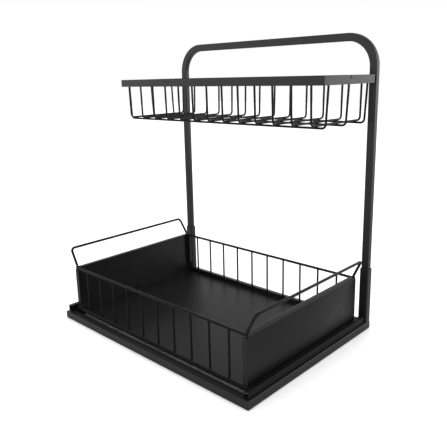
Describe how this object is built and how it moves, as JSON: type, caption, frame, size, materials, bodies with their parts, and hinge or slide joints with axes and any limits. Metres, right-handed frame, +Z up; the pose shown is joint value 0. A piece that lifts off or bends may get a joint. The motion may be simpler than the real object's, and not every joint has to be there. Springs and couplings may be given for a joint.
{
  "type": "pull-out cabinet basket",
  "caption": "Freestanding cabinet organizer: a pull-out drawer with wire fences on ball slides, under a wire basket held by an inverted U of flat tube at the back.",
  "frame": {"origin": "centre of the footprint, on the floor that the base stands on", "axes": "+Z up, -Y to the front (the way the drawer pulls out), +X to the right seen from the front"},
  "size_m": [0.4248, 0.308, 0.467],
  "materials": {
    "black_coat": "satin powder coat",
    "black_wire": "satin powder coat",
    "slide_steel": "satin",
    "ball_steel": "polished",
    "cage_steel": "bright",
    "bumper_plastic": "matte",
    "black_screw": "satin"
  },
  "bodies": {
    "frame": {"base_front_bar": "black_coat", "base_rear_bar": "black_coat", "base_left_rail": "black_coat", "base_right_rail": "black_coat", "u_frame": "black_coat", "left_sleeve": "black_coat", "right_sleeve": "black_coat", "left_sleeve_screws": "black_screw", "right_sleeve_screws": "black_screw", "left_hanger": "black_coat", "right_hanger": "black_coat", "left_hanger_screw": "black_screw", "right_hanger_screw": "black_screw", "basket_rim": "black_coat", "cross_wire_01": "black_wire", "cross_wire_02": "black_wire", "cross_wire_03": "black_wire", "cross_wire_04": "black_wire", "cross_wire_05": "black_wire", "cross_wire_06": "black_wire", "cross_wire_07": "black_wire", "cross_wire_08": "black_wire", "cross_wire_09": "black_wire", "cross_wire_10": "black_wire", "cross_wire_11": "black_wire", "cross_wire_12": "black_wire", "cross_wire_13": "black_wire", "long_wire_1": "black_wire", "long_wire_2": "black_wire", "long_wire_3": "black_wire", "left_slide_outer": "slide_steel", "right_slide_outer": "slide_steel", "left_slide_bumper": "bumper_plastic", "right_slide_bumper": "bumper_plastic"},
    "drawer": {"drawer_pan": "black_coat", "left_panel": "black_coat", "right_panel": "black_coat", "left_handle": "black_wire", "right_handle": "black_wire", "front_fence_rail": "black_wire", "front_fence_uprights": "black_wire", "rear_fence_rail": "black_wire", "rear_fence_uprights": "black_wire", "left_slide_inner": "slide_steel", "right_slide_inner": "slide_steel", "left_slide_rivets": "slide_steel", "right_slide_rivets": "slide_steel"},
    "left_cage": {"left_slide_cage": "cage_steel", "left_slide_balls": "ball_steel"},
    "right_cage": {"right_slide_cage": "cage_steel", "right_slide_balls": "ball_steel"}
  },
  "joints": [
    {"name": "drawer_slide", "type": "slide", "parent": "frame", "child": "drawer", "axis": [0, -1, 0], "range_m": [0, 0.19]},
    {"name": "left_cage_slide", "type": "slide", "parent": "frame", "child": "left_cage", "axis": [0, -1, 0], "range_m": [0, 0.095]},
    {"name": "right_cage_slide", "type": "slide", "parent": "frame", "child": "right_cage", "axis": [0, -1, 0], "range_m": [0, 0.095]}
  ],
  "couplings": [
    {"joint": "left_cage_slide", "follows": "drawer_slide", "ratio": 0.5},
    {"joint": "right_cage_slide", "follows": "drawer_slide", "ratio": 0.5}
  ]
}
